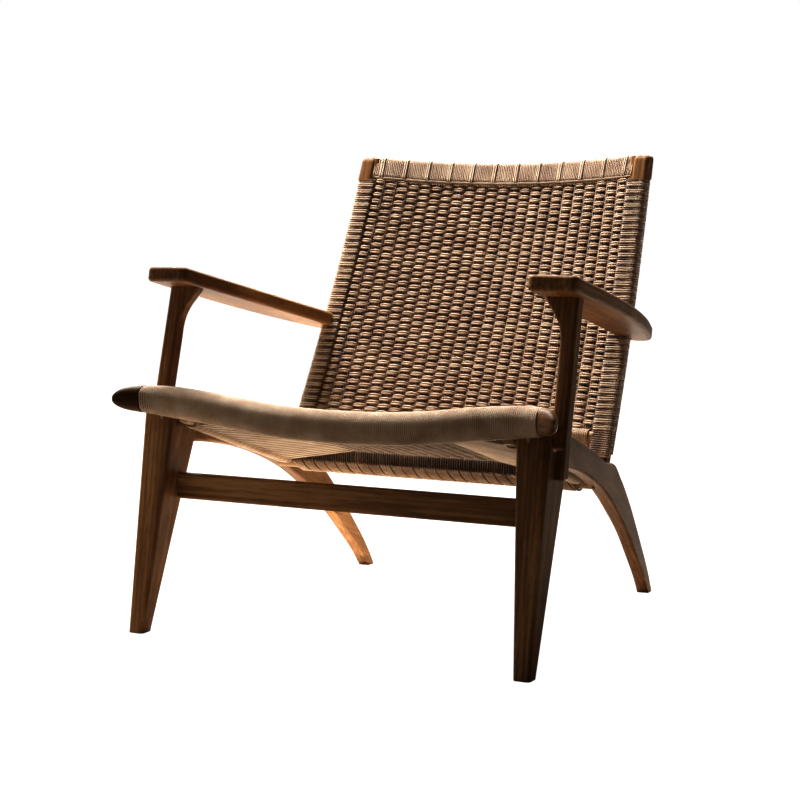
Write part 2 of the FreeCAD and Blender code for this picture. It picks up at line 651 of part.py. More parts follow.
legs, boards, posts, arms = {}, {}, {}, {}
fasteners = {name: [] for name in ("armrest_dowels", "armrest_screws", "leg_joint_dowels",
                                   "rear_rail_dowels", "seat_frame_dowels", "back_rail_dowels",
                                   "back_post_dowels", "front_rail_dowels", "foot_glides")}
for side, sign in SIDES:
    legs[side] = front_leg_raw(side, sign)
    boards[side] = rear_leg_blank(side, sign)
    arms[side] = armrest_blank(side, sign)
    low, high = size("back_post_low_z"), size("back_post_high_z")
    # the stem stops just under the cap's top, so that the two tops don't share a face
    stem = back_post_loft(f"BackPost_{side}", sign, low, high - 2.0, "0", 6)
    posts[side] = fuse(f"PostAndCap_{side}", [stem, back_post_cap(side, sign)])

    # two dowels hold the armrest on its post, pushed up from the post's head
    head_rise = size("post_head_z") - size("post_base_z")
    outer_x = size("post_base_x") + size("post_width") / 2 - size("post_inset") * head_rise
    y = size("post_base_y") + size("post_lean") * head_rise
    for inset in ARM_DOWEL_INSETS:
        start = (sign * (outer_x - inset), y, arm_top_z(y) - ARM_DOWEL_DROP)
        fasteners["armrest_dowels"].append(
            cylinder(f"ArmDowel_{side}_{int(inset)}", start, ARM_DOWEL_LEAN,
                     f"{cell('dowel_diameter')} * 0.8", f"{cell('dowel_length')} * 0.75"))
    # a screw runs through the upright into the armrest, its head hidden under the wound cord
    screw_z = arm_top_z(ARM_SCREW_Y) - size("arm_thickness") / 2
    screw_start = (sign * (back_post_x(screw_z) - size("back_post_width") / 2), ARM_SCREW_Y, screw_z)
    shank = cylinder(f"ArmScrewShank_{side}", screw_start, (sign, 0, 0), cell("screw_diameter"),
                     cell("screw_length"))
    head = cylinder(f"ArmScrewHead_{side}", screw_start, (sign, 0, 0), cell("screw_head_diameter"),
                    cell("screw_head_height"))
    fasteners["armrest_screws"].append(fuse(f"ArmScrew_{side}", [shank, head]))
    # two dowels join the rear leg to the back of the front leg, whose face leans
    for z in LEG_DOWEL_HEIGHTS:
        y = LEG_JOINT_Y - size("leg_dowel_start")
        start = (sign * side_plane_x(y), y - (LEG_DOWEL_HEIGHTS[-1] - z) * 0.2, z)
        fasteners["leg_joint_dowels"].append(
            cylinder(f"LegDowel_{side}_{int(z)}", start, (0, 1, 0), cell("dowel_diameter"),
                     cell("dowel_length")))
    # one dowel at each end of the seat's rear rail
    x = side_plane_x(rear_y) - size("rear_leg_width") / 2
    fasteners["rear_rail_dowels"].append(
        cylinder(f"RearDowel_{side}", (sign * (x + REAR_DOWEL_DEPTH), rear_y, rear_z), (-sign, 0, 0),
                 cell("dowel_diameter"), cell("dowel_length")))
    # the side rail's ends are dowelled into the front and the rear rail
    run_x, run_y, run_z = (b - a for a, b in zip(SIDE_RAIL_NEAR, SIDE_RAIL_FAR))
    for x, y, z in FRAME_DOWEL_STARTS:
        fasteners["seat_frame_dowels"].append(
            cylinder(f"FrameDowel_{side}_{int(y)}", (sign * x, y, z), (sign * run_x, run_y, run_z),
                     f"{cell('dowel_diameter')} * 0.8", f"{cell('dowel_length')} * 0.6"))
    # the front rail sits on a dowel in each front leg
    x, y, z = SADDLE_DOWEL_START
    fasteners["front_rail_dowels"].append(
        cylinder(f"SaddleDowel_{side}", (sign * x, y, z), (0, 0, 1),
                 cell("dowel_diameter"), f"{cell('dowel_length')} * 0.9"))
    # dowels at the ends of both back rails, and one where the upright meets the rear leg
    for z in (size("top_rail_z"), size("low_rail_z")):
        y = back_line_y(z) + size("cord_layer") + size("back_post_depth") / 2
        start = (sign * (back_post_x(z) + BACK_DOWEL_DEPTH), y, z)
        fasteners["back_rail_dowels"].append(
            cylinder(f"BackDowel_{side}_{int(z)}", start, (-sign, 0.12, 0),
                     f"{cell('dowel_diameter')} * 0.8", cell("dowel_length")))
    x, y, z = POST_DOWEL_START
    fasteners["back_post_dowels"].append(
        cylinder(f"PostDowel_{side}", (sign * x, y, z), (-sign, 0, 0),
                 f"{cell('dowel_diameter')} * 0.6", f"{cell('dowel_length')} * 0.8"))
    # a felt glide under each foot, let into the wood
    fasteners["foot_glides"].append(
        cylinder(f"FrontGlide_{side}", (sign * size("foot_x"), size("foot_y"), 0), (0, 0, 1),
                 cell("glide_diameter"), cell("glide_height")))
    fasteners["foot_glides"].append(
        cylinder(f"RearGlide_{side}", (sign * side_plane_x(REAR_GLIDE_Y), REAR_GLIDE_Y, 0), (0, 0, 1),
                 f"{cell('glide_diameter')} * 0.7", cell("glide_height")))

hardware = {name: group(name.title().replace("_", ""), pieces) for name, pieces in fasteners.items()}
doc.recompute()


def drilled(name, base, tools):
    """A piece with each tool's room taken out of it, one after another."""
    for n, tool in enumerate(tools):
        base = cut(f"{name}_{n}", base, tool)
    return base


post_skins = []
for side, sign in SIDES:
    # a U-shaped notch lets the rail's end pass between the leg's front corner and the arm post
    inner, outer_end = size("notch_inner_x"), size("notch_inner_x") + size("notch_length")
    notch = cylinder(f"RailNotch_{side}", (sign * inner, size("notch_y"), size("notch_z")),
                     (sign, 0, 0), f"{cell('notch_radius')} * 2", cell("notch_length"))
    throat_x = min(sign * inner, sign * outer_end)
    throat = box(f"RailThroat_{side}",
                 (throat_x, size("notch_y") - size("notch_radius"), size("notch_z")),
                 cell("notch_length"), f"2 * {cell('notch_radius')}", cell("notch_rise"))
    leg = drilled(f"FrontLeg_{side}", legs[side],
                  [front_skin, notch, throat, arms[side], tenon, hardware["armrest_dowels"],
                   hardware["front_rail_dowels"], hardware["leg_joint_dowels"],
                   hardware["foot_glides"]])
    finish(leg, f"front_leg_{side}")
    board = drilled(f"RearLeg_{side}", boards[side],
                    [legs[side], posts[side], hardware["leg_joint_dowels"],
                     hardware["rear_rail_dowels"], hardware["back_post_dowels"],
                     hardware["foot_glides"]])
    finish(board, f"rear_leg_{side}")
    post = drilled(f"BackUpright_{side}", posts[side],
                   [hardware["armrest_screws"], hardware["back_rail_dowels"],
                    hardware["back_post_dowels"]])
    finish(post, f"back_post_{side}")
    skin = back_post_loft(f"PostSkin_{side}", sign, size("back_wrap_low_z"), size("back_cap_low_z"),
                          cell("cord_layer"), 5)
    post_skins.append(skin)
    sleeve = drilled(f"PostWrap_{side}", skin,
                     [posts[side], hardware["armrest_screws"], hardware["back_rail_dowels"]])
    finish(sleeve, f"back_post_wrap_{side}")
    arm = drilled(f"Armrest_{side}", arms[side],
                  [skin, hardware["armrest_dowels"], hardware["armrest_screws"]])
    finish(arm, f"armrest_{side}")

    # seat side rail, wrapped with cord, between the front and the rear rail
    near, far = ((sign * x, y, z) for x, y, z in (SIDE_RAIL_NEAR, SIDE_RAIL_FAR))
    rail_bar, rail_bore = (
        bar(f"{name}_{side}", near, far, cell("side_rail_width"), cell("side_rail_height"),
            cell("side_rail_corner"))
        for name in ("SideRailBar", "SideRailBore"))
    rail_skin = bar(f"SideRailSkin_{side}", near, far,
                    f"{cell('side_rail_width')} + 2 * {cell('cord_layer')}",
                    f"{cell('side_rail_height')} + 2 * {cell('cord_layer')}",
                    cell("side_wrap_corner"))
    rail = drilled(f"SideRail_{side}", rail_bar,
                   [front_skin, rear_skin, rear_full, hardware["seat_frame_dowels"]])
    finish(rail, f"seat_side_rail_{side}")
    wrap = drilled(f"SideWrap_{side}", rail_skin, [rail_bore, front_skin, rear_skin, rear_full])
    finish(wrap, f"seat_side_rail_wrap_{side}")

rail_dowels = [hardware["front_rail_dowels"], hardware["seat_frame_dowels"]]
finish(drilled("FrontRailBored", front_rail, rail_dowels), "seat_front_rail")
finish(drilled("FrontWrapBored", front_wrap, rail_dowels), "seat_front_rail_wrap")
stretcher_ends = drilled("StretcherEnds", stretcher_bar, [legs["left"], legs["right"]])
finish(fuse("Stretcher", [stretcher_ends, tenon]), "front_stretcher")

rear_rail = drilled("RearRail", rear_bar,
                    [boards["left"], boards["right"], hardware["rear_rail_dowels"],
                     hardware["seat_frame_dowels"]])
finish(rear_rail, "seat_rear_rail")
finish(drilled("RearRailWrap", rear_skin, [rear_full, hardware["seat_frame_dowels"]]),
       "seat_rear_rail_wrap")

rail_ends = [posts["left"], posts["right"], hardware["back_rail_dowels"]]
finish(drilled("TopRail", top_rail_bar, rail_ends), "back_top_rail")
finish(drilled("LowRail", low_rail_bar, rail_ends), "back_bottom_rail")
top_skin = bowed_rail("TopRailSkin", "top_rail_half", "top_rail_bow", "top_rail_height",
                      "top_rail_depth", "top_rail_z", TOP_RAIL_DIP, cell("cord_layer"))
low_skin = bowed_rail("LowRailSkin", "low_rail_half", "low_rail_bow", "low_rail_size",
                      "low_rail_size", "low_rail_z", LOW_RAIL_DIP, cell("cord_layer"))
top_bore = bowed_rail("TopRailBore", "top_rail_half", "top_rail_bow", "top_rail_height",
                      "top_rail_depth", "top_rail_z", TOP_RAIL_DIP, "0")
low_bore = bowed_rail("LowRailBore", "low_rail_half", "low_rail_bow", "low_rail_size",
                      "low_rail_size", "low_rail_z", LOW_RAIL_DIP, "0")
finish(drilled("TopWrap", top_skin, [top_bore, *rail_ends, *post_skins]),
       "back_top_rail_wrap")
finish(drilled("LowWrap", low_skin, [low_bore, *rail_ends, *post_skins]),
       "back_bottom_rail_wrap")
finish(back_panel(), "back_weave")
finish(seat_panel(), "seat_weave")
for name, obj in hardware.items():
    finish(obj, name)
doc.recompute()

# ---------------------------------------------------------------- checks, then files
faults = [f"{obj.Name}: {obj.State}" for obj in doc.Objects
          if "Invalid" in obj.State or "Error" in obj.State]
for obj in FINISHED:
    if obj.Shape.isNull() or not obj.Shape.isValid() or not obj.Shape.Solids:
        faults.append(f"{obj.Label}: no valid solid")
if faults:
    raise RuntimeError("; ".join(faults))

os.makedirs("parts", exist_ok=True)
whole = FreeCAD.BoundBox()
for obj in FINISHED:
    shape = obj.Shape
    whole.add(shape.BoundBox)
    print(f"{obj.Label:28s} solids {len(shape.Solids)} volume {shape.Volume / 1000:9.2f} cm3")
    shape.exportStep(f"parts/{obj.Label}.step")
print("box", [round(v, 2) for v in (whole.XMin, whole.YMin, whole.ZMin,
                                    whole.XMax, whole.YMax, whole.ZMax)])
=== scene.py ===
"""Looks of the wooden armchair: the woven cord, the cord wound round the rails, and the wood.

Lengths are in millimetres and are laid out from the front edge of the front feet, as in the CAD
model; mesh_object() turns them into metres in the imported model's frame.
"""
import math

import bpy
import numpy as np
from mathutils import Matrix, Vector


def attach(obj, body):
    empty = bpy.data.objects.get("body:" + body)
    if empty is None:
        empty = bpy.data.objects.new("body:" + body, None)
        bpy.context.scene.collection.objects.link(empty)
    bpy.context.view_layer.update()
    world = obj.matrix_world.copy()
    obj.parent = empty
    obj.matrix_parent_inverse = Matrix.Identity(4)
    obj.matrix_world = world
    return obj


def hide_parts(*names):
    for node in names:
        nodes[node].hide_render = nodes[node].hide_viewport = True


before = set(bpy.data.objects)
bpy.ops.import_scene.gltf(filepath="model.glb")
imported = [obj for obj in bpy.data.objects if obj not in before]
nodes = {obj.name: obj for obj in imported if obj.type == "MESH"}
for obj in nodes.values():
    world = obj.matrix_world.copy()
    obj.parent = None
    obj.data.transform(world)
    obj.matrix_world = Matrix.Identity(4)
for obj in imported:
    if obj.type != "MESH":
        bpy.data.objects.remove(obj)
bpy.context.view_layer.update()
rng = np.random.default_rng(25)

HALF_DEPTH = 334.0
CORD = 1.65            # radius of one cord
LAYER = 3.5            # thickness of one layer of wound cord
SIDES = 6              # of a cord's cross-section
WOUND_PITCH = 3.2      # from one turn of wound cord to the next
TURN_POINTS = 36       # points on one turn of wound cord


# ---------------------------------------------------------------- vectors and curves
def unit(vectors):
    return vectors / np.linalg.norm(vectors, axis=-1, keepdims=True)


def distances(path):
    """How far each point of a path is along it."""
    return np.concatenate([[0], np.cumsum(np.linalg.norm(np.diff(path, axis=0), axis=1))])


def spline(knots, values, at):
    """Natural cubic spline through (knots, values), read at `at`."""
    knots, values, at = map(lambda v: np.asarray(v, float), (knots, values, at))
    n = len(knots)
    step = np.diff(knots)
    system, right = np.eye(n), np.zeros(n)
    for i in range(1, n - 1):
        system[i, i - 1:i + 2] = step[i - 1], 2 * (step[i - 1] + step[i]), step[i]
        right[i] = 6 * ((values[i + 1] - values[i]) / step[i] - (values[i] - values[i - 1]) / step[i - 1])
    bend = np.linalg.solve(system, right)
    i = np.clip(np.searchsorted(knots, at) - 1, 0, n - 2)
    h, a, b = step[i], knots[i + 1] - at, at - knots[i]
    return (bend[i] * a ** 3 / (6 * h) + bend[i + 1] * b ** 3 / (6 * h)
            + (values[i] / h - bend[i] * h / 6) * a + (values[i + 1] / h - bend[i + 1] * h / 6) * b)


def hump(at, rise_start, rise, fall_end, fall):
    """0 to 1 over `rise` from rise_start, and back to 0 over `fall` before fall_end."""
    return np.clip((at - rise_start) / rise, 0, 1) * np.clip((fall_end - at) / fall, 0, 1)


# ---------------------------------------------------------------- cord meshes
def mesh_object(name, points, quads, uvs, shades, material):
    """A smooth-shaded mesh from millimetre points laid out from the front feet."""
    mesh = bpy.data.meshes.new(name)
    metres = (points - np.array([0, HALF_DEPTH, 0])) * 0.001
    mesh.vertices.add(len(points))
    mesh.vertices.foreach_set("co", metres.astype(np.float32).ravel())
    mesh.loops.add(quads.size)
    mesh.loops.foreach_set("vertex_index", quads.astype(np.int32).ravel())
    mesh.polygons.add(len(quads))
    mesh.polygons.foreach_set("loop_start", np.arange(len(quads), dtype=np.int32) * 4)
    mesh.update(calc_edges=True)
    mesh.polygons.foreach_set("use_smooth", np.ones(len(quads), bool))
    mesh.uv_layers.new(name="UVMap").data.foreach_set("uv", uvs.astype(np.float32).ravel())
    mesh.attributes.new("shade", "FLOAT", "POINT").data.foreach_set("value", shades.astype(np.float32))
    mesh.materials.append(material)
    mesh.validate()
    piece = bpy.data.objects.new(name, mesh)
    bpy.context.scene.collection.objects.link(piece)
    return piece


class Cords:
    """Collects cords as six-sided tubes and turns them into one mesh."""

    def __init__(self):
        self.points, self.quads, self.uvs, self.shades = [], [], [], []
        self.count = 0

    def add(self, path, facing, radius, shade):
        """A cord along a path. It faces the given directions; u is its length and v goes round it."""
        along = unit(np.gradient(path, axis=0))
        side = np.cross(along, facing)
        side /= np.maximum(np.linalg.norm(side, axis=1, keepdims=True), 1e-9)
        up = np.cross(side, along)
        size = np.array(np.broadcast_to(radius, len(path)), float)
        size[[0, -1]] *= 0.2
        angle = 2 * np.pi * (np.arange(SIDES) + 0.5) / SIDES
        ring = (np.cos(angle)[None, :, None] * side[:, None, :]
                + np.sin(angle)[None, :, None] * up[:, None, :])
        points = path[:, None, :] + size[:, None, None] * ring
        i, j = np.meshgrid(np.arange(len(path) - 1), np.arange(SIDES), indexing="ij")
        k = (j + 1) % SIDES
        quads = np.stack([i * SIDES + j, i * SIDES + k, (i + 1) * SIDES + k, (i + 1) * SIDES + j], -1)
        length = distances(path) + rng.uniform(0, 50)
        u0, u1, v0, v1 = length[i], length[i + 1], j / SIDES, (j + 1) / SIDES
        self.points.append(points.reshape(-1, 3))
        self.quads.append(quads.reshape(-1, 4) + self.count)
        self.uvs.append(np.stack([u0, v0, u0, v1, u1, v1, u1, v0], -1).reshape(-1, 2))
        self.shades.append(np.repeat(np.broadcast_to(shade, len(path)), SIDES))
        self.count += len(path) * SIDES

    def finish(self, name, *replaced):
        parts = map(np.concatenate, (self.points, self.quads, self.uvs, self.shades))
        piece = mesh_object(name, *parts, cord)
        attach(piece, "root")
        if replaced:
            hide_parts(*replaced)


# ---------------------------------------------------------------- cord round a bar
# A bar is a function line(s) that gives, at distance s: the section's centre, its first and
# second axis, its size along each, and the radius of its corners.
def round_rect(share, width, height, radius):
    """Point and outward direction on a rounded rectangle; share 0..1 goes once round it.

    It starts at the middle of the +first side and turns towards the +second side.
    """
    share = np.mod(share, 1.0)
    w, h = width / 2, height / 2
    r = np.minimum(radius, np.minimum(w, h) - 0.01)
    a, b, c = h - r, r * np.pi / 2, w - r        # half side, corner arc, half top
    quarter = a + b + c
    s = share * 4 * quarter
    q = np.floor(s / quarter).astype(int) % 4
    t = s - q * quarter
    t = np.where(q % 2 == 1, quarter - t, t)     # every quarter is walked from the +first side
    corner = np.clip((t - a) / b, 0, 1) * np.pi / 2
    x = np.where(t < a, w, np.where(t < a + b, w - r + r * np.cos(corner), w - r - (t - a - b)))
    y = np.where(t < a, t, np.where(t < a + b, h - r + r * np.sin(corner), h))
    sx = np.where((q == 1) | (q == 2), -1, 1)
    sy = np.where((q == 2) | (q == 3), -1, 1)
    return x * sx, y * sy, np.cos(corner) * sx, np.sin(corner) * sy


def around(line, s, share, stand, corner_stand=None):
    """Points `stand` off a bar's wood at distance s, a share of the way round it, and outward directions.

    The corners are corner_stand rounder than the wood's, which is `stand` if it isn't given.
    """
    centre, first, second, width, height, corner = line(s)
    extra = stand if corner_stand is None else corner_stand
    x, y, nx, ny = round_rect(share, width + 2 * stand, height + 2 * stand, corner + extra)
    path = centre + x[:, None] * first + y[:, None] * second
    return path, nx[:, None] * first + ny[:, None] * second


def wind(cords, line, start, end, jitter, shade=0.5, tone=None):
    """A cord wound round a bar from one end to the other; tone(share) shades it round the bar."""
    turns = (end - start) / WOUND_PITCH
    turn = np.linspace(0, turns, int(turns * TURN_POINTS) + 1)
    path, out = around(line, start + turn * WOUND_PITCH, turn, CORD)
    wobble = np.interp(turn, np.arange(int(turns) + 3), rng.normal(0, jitter, int(turns) + 3))
    cords.add(path + out * wobble[:, None], out, CORD, tone(np.mod(turn, 1.0)) if tone else shade)


# ---------------------------------------------------------------- bars that carry wound cord
# seat front rail: stations from its middle to one end
RAIL_X = [0.0, 75.0, 150.0, 215.0, 265.0, 300.0, 328.0, 345.0, 355.5, 361.0]
RAIL_Y = [50.0, 50.0, 50.0, 50.0, 50.0, 48.0, 37.0, 23.0, 12.0, 5.0]
RAIL_Z = [327.0, 328.5, 334.5, 342.5, 347.5, 350.5, 353.0, 354.5, 355.0, 355.0]
RAIL_TALL = [1.0, 1.0, 1.0, 1.0, 0.99, 0.95, 0.85, 0.73, 0.52, 0.25]
RAIL_DEEP = [1.0, 1.0, 1.0, 1.0, 1.0, 0.97, 0.88, 0.74, 0.54, 0.26]
RAIL_DEPTH, RAIL_HEIGHT = 44.0, 48.0    # over the cord, at the middle
RAIL_ROUNDNESS = 0.42                   # corner radius as a share of the depth

UPRIGHT_WIDTH, UPRIGHT_DEPTH, UPRIGHT_CORNER = 30.0, 25.0, 6.0
LOW_RAIL_Z, TOP_RAIL_Z = 282.0, 707.0   # where the back's two rails meet the uprights
LOW_BOW, TOP_BOW = 20.0, 28.0           # how far they bow backward
TOP_DIP = 13.0                          # how far the top rail dips at its middle


def rail_spline(values, s):
    """A front-rail measure at X = s, mirrored about the chair's middle."""
    return spline([-x for x in RAIL_X[:0:-1]] + RAIL_X, values[:0:-1] + values, s)


def front_rail(s):
    centre = np.stack([s, rail_spline(RAIL_Y, s), rail_spline(RAIL_Z, s)], -1)
    depth = RAIL_DEPTH * rail_spline(RAIL_DEEP, s)
    height = RAIL_HEIGHT * rail_spline(RAIL_TALL, s)
    return (centre, np.array([0.0, 1.0, 0.0]), np.array([0.0, 0.0, 1.0]),
            depth - 2 * LAYER, height - 2 * LAYER, depth * RAIL_ROUNDNESS - LAYER)


def straight(start, end, width, height, corner):
    """A straight bar and its length; the first axis is level."""
    start, end = np.array(start, float), np.array(end, float)
    along = unit(end - start)
    first = unit(np.cross([0, 0, 1], along))
    second = np.cross(along, first)

    def line(s):
        return start + s[:, None] * along, first, second, width, height, corner

    return line, float(np.linalg.norm(end - start))


def back_front(z):
    """Front face of the wound uprights."""
    return 237.0 + 0.6705 * z - 0.000191 * z * z


def upright_middle(z):
    return back_front(z) + LAYER + UPRIGHT_DEPTH / 2


def upright_x(z):
    return 281.0 - 0.047 * z


def inner_face(z):
    """Inner face of the wound uprights."""
    return upright_x(z) - UPRIGHT_WIDTH / 2 - LAYER


def upright(sign):
    """A back upright; s is Z, the first axis points outward from the chair's middle."""

    def line(s):
        centre = np.stack([sign * upright_x(s), upright_middle(s), s], -1)
        return (centre, np.array([float(sign), 0.0, 0.0]), np.array([0.0, -1.0, 0.0]),
                UPRIGHT_WIDTH, UPRIGHT_DEPTH, UPRIGHT_CORNER)

    return line


def back_bar(z_end, half, bow, dip, depth, height, corner):
    """One of the two rails between the uprights; s is X, the first axis points backward."""
    lean = math.atan2(dip, bow)
    axis = np.array([0.0, math.cos(lean), -math.sin(lean)])
    tall = np.array([0.0, math.sin(lean), math.cos(lean)])

    def line(s):
        crown = 1 - (s / half) ** 2
        centre = np.stack([s, upright_middle(z_end) + bow * crown, z_end - dip * crown], -1)
        return centre, axis, tall, depth, height, corner

    return line


top_rail = back_bar(TOP_RAIL_Z, half=246.0, bow=TOP_BOW, dip=TOP_DIP, depth=21.0, height=32.0, corner=2.0)
low_rail = back_bar(LOW_RAIL_Z, half=256.0, bow=LOW_BOW, dip=0.01, depth=24.0, height=24.0, corner=6.0)
rear_rail, rear_length = straight((-249, 366, 233), (249, 366, 233), width=34, height=40, corner=9)

SIDE_NEAR, SIDE_FAR = (268.0, 60.0, 334.0), (257.0, 368.0, 234.0)
side_bars = {sign: straight((sign * SIDE_NEAR[0], *SIDE_NEAR[1:]), (sign * SIDE_FAR[0], *SIDE_FAR[1:]),
                            width=18.0, height=34.0, corner=5.0)
             for sign in (-1, 1)}


# ---------------------------------------------------------------- shader nodes
def shader(name):
    """A new material, its node tree, its shader and the coordinates of the piece."""
    material = bpy.data.materials.new(name)
    material.use_nodes = True
    tree = material.node_tree
    return material, tree, tree.nodes["Principled BSDF"], node(tree, "ShaderNodeTexCoord").outputs


def link(tree, source, target):
    tree.links.new(source, target)


def node(tree, kind, **values):
    """A new node; each value goes to the input of that name, or else to the node's own setting."""
    made = tree.nodes.new(kind)
    for key, value in values.items():
        if key in made.inputs:
            made.inputs[key].default_value = value
        else:
            setattr(made, key, value)
    return made


def calc(tree, operation, *terms):
    """A math node's result; each term is a number or the socket that feeds it."""
    made = node(tree, "ShaderNodeMath", operation=operation)
    for socket, term in zip(made.inputs, terms):
        if isinstance(term, (int, float)):
            socket.default_value = term
        else:
            link(tree, term, socket)
    return made.outputs[0]


def noise(tree, vector, **values):
    made = node(tree, "ShaderNodeTexNoise", **values)
    link(tree, vector, made.inputs["Vector"])
    return made.outputs["Fac"]


def ramp(tree, factor, stops):
    """Colour from a list of (position, colour)."""
    made = node(tree, "ShaderNodeValToRGB")
    made.color_ramp.elements.remove(made.color_ramp.elements[0])
    made.color_ramp.elements[0].position = stops[0][0]
    made.color_ramp.elements[0].color = (*stops[0][1], 1)
    for position, colour in stops[1:]:
        made.color_ramp.elements.new(position).color = (*colour, 1)
    link(tree, factor, made.inputs["Fac"])
    return made.outputs["Color"]


def multiply(tree, amount, colour, by):
    """One colour darkened by another."""
    made = node(tree, "ShaderNodeMix", data_type="RGBA", blend_type="MULTIPLY")
    made.inputs[0].default_value = amount
    link(tree, colour, made.inputs[6])
    link(tree, by, made.inputs[7])
    return made.outputs[2]


def relief(tree, bsdf, height, strength, distance):
    made = node(tree, "ShaderNodeBump", Strength=strength, Distance=distance)
    link(tree, height, made.inputs["Height"])
    link(tree, made.outputs[0], bsdf.inputs["Normal"])


def mix_shaders(tree, share, first, second, output):
    made = node(tree, "ShaderNodeMixShader")
    for source, target in zip((share, first, second), made.inputs):
        link(tree, source, target)
    link(tree, made.outputs[0], tree.nodes[output].inputs["Surface"])


# ---------------------------------------------------------------- materials
def cord_material():
    material, tree, bsdf, place = shader("paper_cord")
    # the shade attribute holds each cord's random tone together with painted shade laid along it
    tone = node(tree, "ShaderNodeAttribute", attribute_name="shade")
    patch = noise(tree, place["Object"], Scale=30.0, Detail=3.0)
    blend = calc(tree, "MULTIPLY_ADD", tone.outputs["Fac"], 0.45, patch)
    colour = ramp(tree, blend, [(0.0, (0.07, 0.037, 0.019)), (0.4, (0.37, 0.222, 0.13)),
                                (0.72, (0.55, 0.375, 0.24)), (1.05, (0.71, 0.55, 0.39))])
    # the twist of the cord, from its own length and round it
    apart = node(tree, "ShaderNodeSeparateXYZ")
    link(tree, place["UV"], apart.inputs[0])
    joined = node(tree, "ShaderNodeCombineXYZ")
    link(tree, calc(tree, "MULTIPLY_ADD", apart.outputs["X"], 0.42, apart.outputs["Y"]), joined.inputs["X"])
    twist = node(tree, "ShaderNodeTexWave", Scale=0.955, Distortion=0.0)
    link(tree, joined.outputs[0], twist.inputs["Vector"])
    fibre = noise(tree, place["Object"], Scale=900.0, Detail=2.0)
    relief(tree, bsdf, calc(tree, "MULTIPLY_ADD", fibre, 0.35, twist.outputs["Fac"]), 0.5, 0.0006)
    # painted shade in the grooves of the twist
    shade = ramp(tree, twist.outputs["Fac"], [(0.0, (0.55, 0.5, 0.45)), (0.45, (1, 1, 1))])
    colour = multiply(tree, 0.55, colour, shade)
    # painted shade in the grooves between the cords: v runs round the cord and its outward side is at 1/6
    turned = calc(tree, "MULTIPLY_ADD", apart.outputs["Y"], 2 * math.pi, math.pi / 6)
    groove_painted_shade = ramp(tree, calc(tree, "SINE", turned), [(0.0, (0.16, 0.12, 0.09)), (0.55, (0.72, 0.68, 0.64)),
                                                    (0.9, (1, 1, 1))])
    link(tree, multiply(tree, 0.7, colour, groove_painted_shade), bsdf.inputs["Base Color"])
    bsdf.inputs["Roughness"].default_value = 0.62
    bsdf.inputs["Sheen Weight"].default_value = 0.15
    return material


def wood_material(name, grain, dark, mid, light, seed=0.0):
    """Oiled hardwood; grain is the direction its fibres run, in the chair's frame."""
    material, tree, bsdf, place = shader(name)
    turned = Vector(grain).normalized().rotation_difference(Vector((0, 0, 1))).to_euler()
    rotate = node(tree, "ShaderNodeMapping", Rotation=turned, Location=(seed, seed * 0.37, seed * 0.71))
    link(tree, place["Object"], rotate.inputs["Vector"])

    def along(scale):
        """Coordinates drawn out along the fibres."""
        made = node(tree, "ShaderNodeMapping", Scale=(1.0, 1.0, scale))
        link(tree, rotate.outputs[0], made.inputs["Vector"])
        return made.outputs[0]

    cloud = noise(tree, along(0.35), Scale=9.0, Detail=3.0)
    figure = noise(tree, along(0.045), Scale=120.0, Detail=4.0, Roughness=0.62, Distortion=0.4)
    rings = node(tree, "ShaderNodeTexWave", Scale=38.0, Distortion=5.0, Detail=2.0)
    rings.inputs["Detail Scale"].default_value = 0.6
    link(tree, along(0.05), rings.inputs["Vector"])
    broad = calc(tree, "MULTIPLY_ADD", rings.outputs["Fac"], 0.10, cloud)
    colour = ramp(tree, calc(tree, "MULTIPLY_ADD", figure, 0.6, broad),
                  [(0.62, dark), (0.88, mid), (1.15, light)])
    pores = noise(tree, along(0.03), Scale=1100.0, Detail=2.0)
    pits = ramp(tree, pores, [(0.34, (0.5, 0.46, 0.42)), (0.47, (1, 1, 1))])
    link(tree, multiply(tree, 0.7, colour, pits), bsdf.inputs["Base Color"])
    relief(tree, bsdf, pores, 0.3, 0.0003)
    gloss = node(tree, "ShaderNodeMapRange")
    gloss.inputs["To Min"].default_value = 0.42
    gloss.inputs["To Max"].default_value = 0.62
    link(tree, figure, gloss.inputs["Value"])
    link(tree, gloss.outputs[0], bsdf.inputs["Roughness"])
    bsdf.inputs["Specular IOR Level"].default_value = 0.08
    return material


def speckled_material(name, scale, dark, light, roughness, metallic):
    material, tree, bsdf, place = shader(name)
    colour = ramp(tree, noise(tree, place["Object"], Scale=scale), [(0.3, dark), (0.7, light)])
    link(tree, colour, bsdf.inputs["Base Color"])
    bsdf.inputs["Metallic"].default_value = metallic
    bsdf.inputs["Roughness"].default_value = roughness
    return material


WOOD = ((0.115, 0.05, 0.018), (0.225, 0.108, 0.041), (0.345, 0.182, 0.075))
# a darker copy of WOOD for the seat's front rail: its end grain, and painted shade where its ends face away
# from the lamps
END_GRAIN_AND_SHADE_WOOD = ((0.06, 0.026, 0.01), (0.11, 0.052, 0.02), (0.17, 0.088, 0.036))
RAW = ((0.30, 0.19, 0.10), (0.42, 0.28, 0.16), (0.52, 0.37, 0.23))
GRAIN = {
    "front_leg": (0, 0.22, 1), "rear_leg": (0, 1, -0.45), "front_stretcher": (1, 0, 0),
    "armrest": (0, 1, -0.22), "back_post": (0, 0.5, 1), "seat_front_rail": (1, 0, 0),
}
cord = cord_material()
steel = speckled_material("screw_steel", 400.0, (0.4, 0.4, 0.41), (0.62, 0.62, 0.63), 0.35, 1.0)
plastic = speckled_material("glide_plastic", 700.0, (0.02, 0.018, 0.016), (0.05, 0.045, 0.04), 0.6, 0.0)
raw = wood_material("raw_wood", (1, 0, 0), *RAW)
